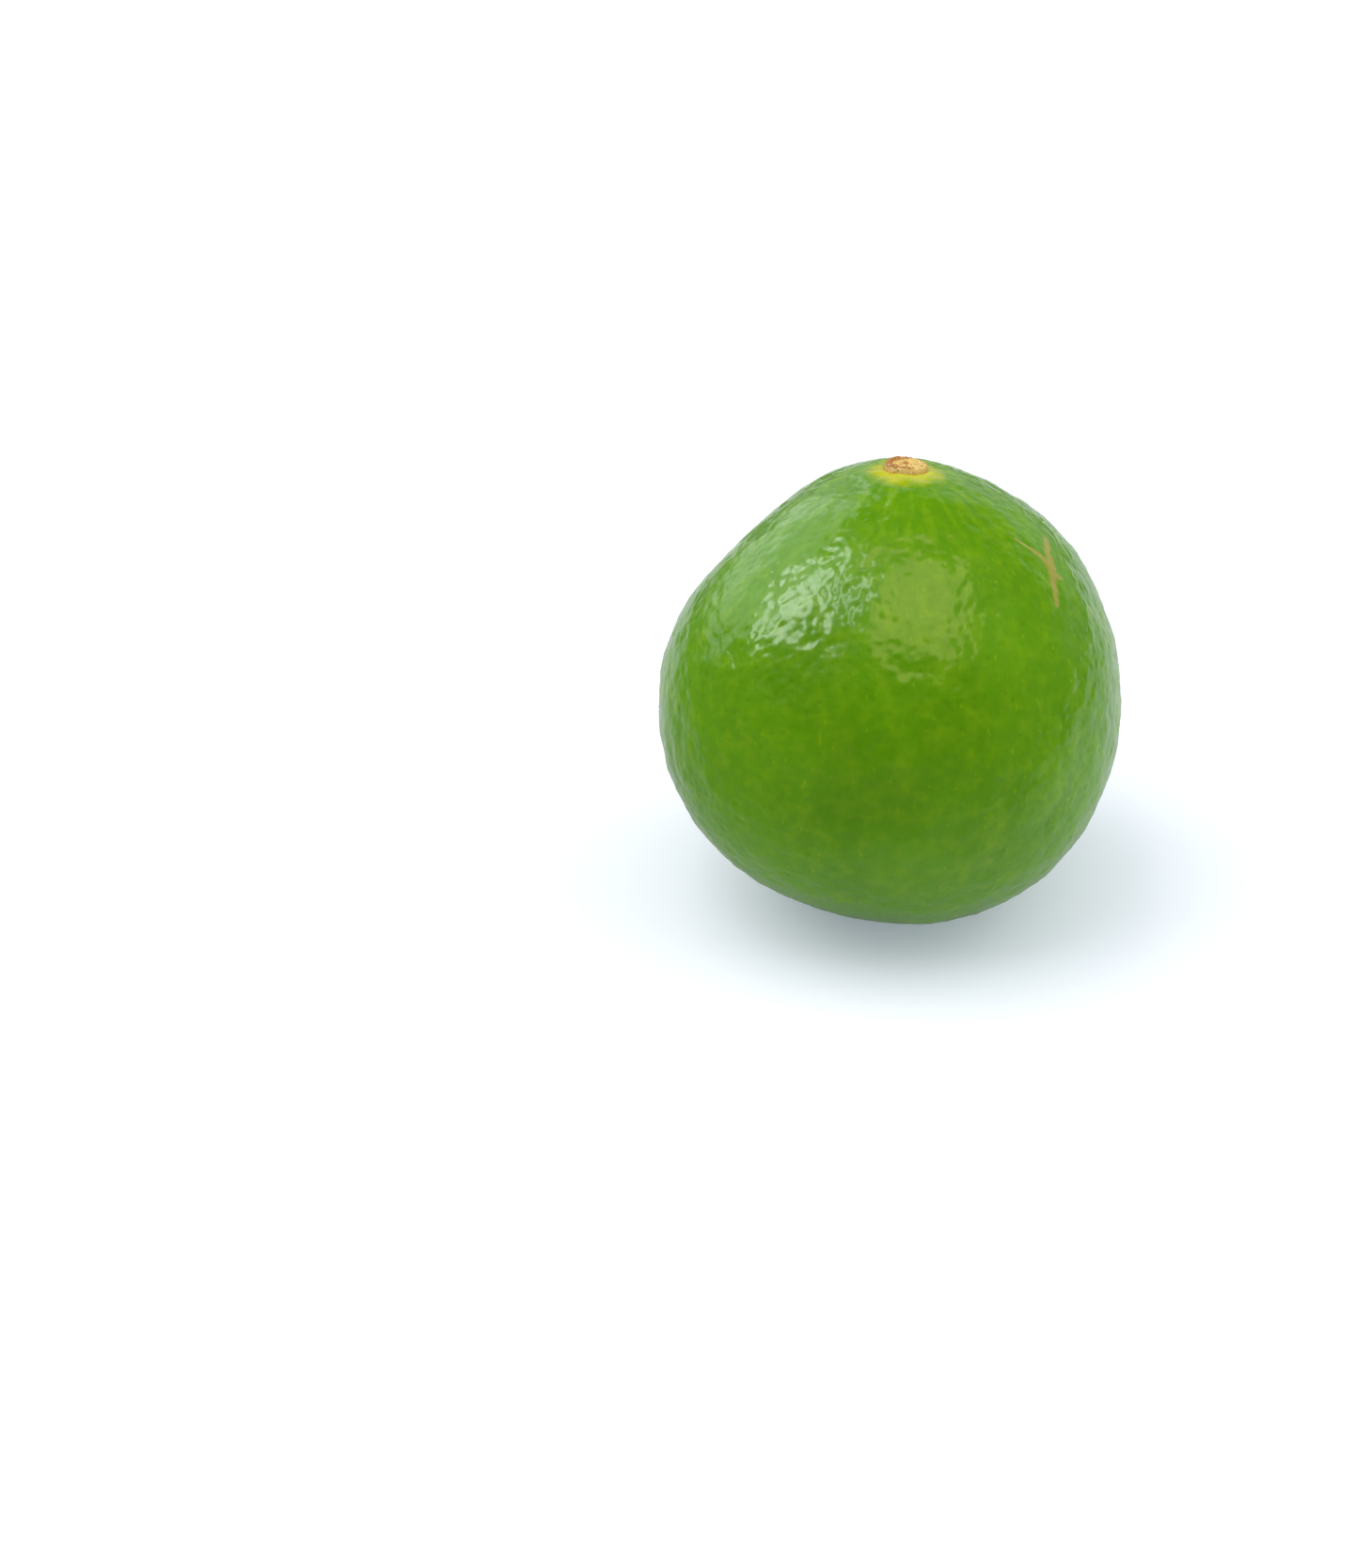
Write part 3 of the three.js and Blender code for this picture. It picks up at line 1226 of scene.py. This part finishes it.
@dataclass(frozen=True)
class Window:
    """A large flat light made of panes, which faces the fruit.

    Attributes:
        name: the window's name.
        towards: the direction from the fruit to the window.
        along: the direction of its width, nearly.
        radiance: how bright its panes are, where the white floor is a little over 1.
        colour: its sRGB colour.
        panes: its openings.
        mirrored: true if the wax mirrors it, and false if it only lights matt surfaces.
        distance: from the fruit.
    """

    name: str
    towards: tuple[float, float, float]
    along: tuple[float, float, float]
    radiance: float
    colour: str
    panes: tuple[Pane, ...] = SQUARE
    mirrored: bool = False
    distance: float = 2.6

    def build(self, target: Vector) -> None:
        """Hangs a lamp for each pane, facing the target.

        Args:
            target: the fruit's middle.
        """
        away = Vector(self.towards).normalized()
        across = Vector(self.along)
        across = (across - away * across.dot(away)).normalized()
        up = away.cross(across)
        turned = Matrix((across, up, away)).transposed().to_4x4()
        for number, pane in enumerate(self.panes):
            name = f"{self.name}_{number}"
            lamp = bpy.data.lights.new(name, "AREA")
            lamp.shape = "RECTANGLE"
            lamp.size, lamp.size_y = pane.width * self.distance, pane.height * self.distance
            lamp.color = linear(self.colour)[:3]
            lamp.energy = self.radiance * math.pi * lamp.size * lamp.size_y
            holder = put_in_scene(name, lamp)
            place = target + (away + across * pane.across + up * pane.up) * self.distance
            holder.matrix_world = Matrix.Translation(place) @ turned
            holder.visible_camera = False
            holder.visible_glossy = self.mirrored
            holder.visible_diffuse = not self.mirrored


@dataclass
class Studio:
    """Soft daylight on a white sheet, and the camera."""

    floor_size: float = 2.6
    room_colour: str = "#f8fbff"
    room_seen: float = 1.1
    room_on_matt: float = 0.4
    behind: tuple[float, float, float] = (0.0, 0.75, -0.66)  # where the mirrored room is brighter
    room_mirrored: Ramp = Ramp(0.0, 0.6, 0.02, 0.7)  # by how nearly a ray goes that way
    elevation: float = 32.0
    distance: float = 0.4515
    lens: float = 99.2
    aim_left: float = 21.3 * MM  # the camera looks past the fruit, which stands right of the middle
    aim_below: float = 10.05 * MM
    windows: tuple[Window, ...] = (
        Window(
            "window",
            (-0.607, 0.027, 0.794),
            (0.672, -0.515, 0.531),
            10.0,
            "#f4f8f5",
            (
                Pane(-0.38, -0.27, 0.21, 0.2),
                Pane(-0.14, -0.13, 0.23, 0.48),
                Pane(0.1, 0.0, 0.2, 0.74),
                Pane(0.4, 0.03, 0.1, 0.5),
            ),
            mirrored=True,
        ),
        Window(
            "skylight",
            (0.289, -0.183, 0.937),
            (1.0, 0.0, 0.0),
            2.8,
            "#ffdfa8",
            (
                Pane(-0.03, -0.12, 0.78, 0.96),
                Pane(-0.04, -0.14, 0.6, 0.76),
                Pane(-0.05, -0.16, 0.42, 0.56),
                Pane(-0.06, -0.18, 0.24, 0.34),
            ),
            mirrored=True,
        ),
        Window(
            "far_wall",
            (-0.62, 0.55, 0.5),
            (0.66, 0.75, 0.0),
            1.7,
            "#f4f8ff",
            (Pane(0.0, 0.0, 1.1, 0.9),),
            mirrored=True,
        ),
        Window("daylight", (-0.55, 0.0, 0.84), (1.0, 0.0, 0.0), 3.1, "#fdfdff"),
        Window("ceiling", (0.25, 0.0, 0.97), (1.0, 0.0, 0.0), 1.5, "#f8fbff"),
        Window("side_wall", (0.85, 0.0, 0.45), (0.0, 1.0, 0.0), 1.9, "#fdfdff"),
    )

    def build(self) -> None:
        """Sets up the floor, the light and the camera."""
        low, high = (Vector(corner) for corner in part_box("fruit"))
        target = (low + high) / 2
        self.lay_floor()
        self.light_room()
        for window in self.windows:
            window.build(target)
        self.place_camera(target)
        bpy.context.scene.view_settings.view_transform = "Standard"

    def lay_floor(self) -> None:
        """Lays the white sheet that the fruit stands on."""
        half = self.floor_size / 2
        mesh = bpy.data.meshes.new("floor")
        corners = [(-half, -half, 0), (half, -half, 0), (half, half, 0), (-half, half, 0)]
        mesh.from_pydata(corners, [], [(0, 1, 2, 3)])
        mesh.materials.append(LitAcrylic().material())
        put_in_scene("floor", mesh)

    def light_room(self) -> None:
        """Makes the room white to look at, and dim to the wax, so that the rind keeps its colour."""
        world = bpy.data.worlds.new("room")
        world.use_nodes = True
        room = Workings(world.node_tree)
        room.tree.nodes.clear()
        room.known["way"] = add_node(room.tree, "ShaderNodeTexCoord").outputs["Generated"]
        room.work_out(
            ("backward", VECTORS, "DOT_PRODUCT", "way", self.behind),
            ("mirrored", RAMPS, self.room_mirrored, "backward"),
        )
        path = add_node(room.tree, "ShaderNodeLightPath")
        strength: Any = self.room_on_matt
        for ray, level in (("Camera", self.room_seen), ("Glossy", room.known["mirrored"])):
            inputs = {"Factor": path.outputs[f"Is {ray} Ray"], "A": strength, "B": level}
            strength = add_node(room.tree, "ShaderNodeMix", inputs, data_type="FLOAT")
        inputs = {"Color": linear(self.room_colour), "Strength": strength}
        light = add_node(room.tree, "ShaderNodeBackground", inputs)
        add_node(room.tree, "ShaderNodeOutputWorld", {"Surface": light})
        bpy.context.scene.world = world

    def place_camera(self, target: Vector) -> None:
        """Stands the camera in front of and above the fruit.

        Args:
            target: the fruit's middle.
        """
        rise = math.radians(self.elevation)
        right = Vector((1, 0, 0))
        up = Vector((0, math.sin(rise), math.cos(rise)))
        eye = target + right.cross(up) * self.distance
        forward = (target - right * self.aim_left - up * self.aim_below - eye).normalized()
        across = (right - forward * right.dot(forward)).normalized()
        over = across.cross(forward)
        data = bpy.data.cameras.new("camera")
        data.lens = self.lens
        data.clip_start = 0.01
        camera = put_in_scene("camera", data)
        turn = Matrix((across, over, -forward)).transposed().to_4x4()
        camera.matrix_world = Matrix.Translation(eye) @ turn
        bpy.context.scene.camera = camera


def main() -> None:
    """Builds the studio and then the lime, piece by piece."""
    logging.basicConfig(level=logging.INFO, format="%(name)s: %(message)s")
    Studio().build()
    axis = StemAxis.from_frame()
    finish_piece(Rind(axis).build(WaxyRind()), "fruit")
    finish_piece(StemButton(axis).build(DryCork()), "stem_button")


if __name__ == "__main__":
    main()
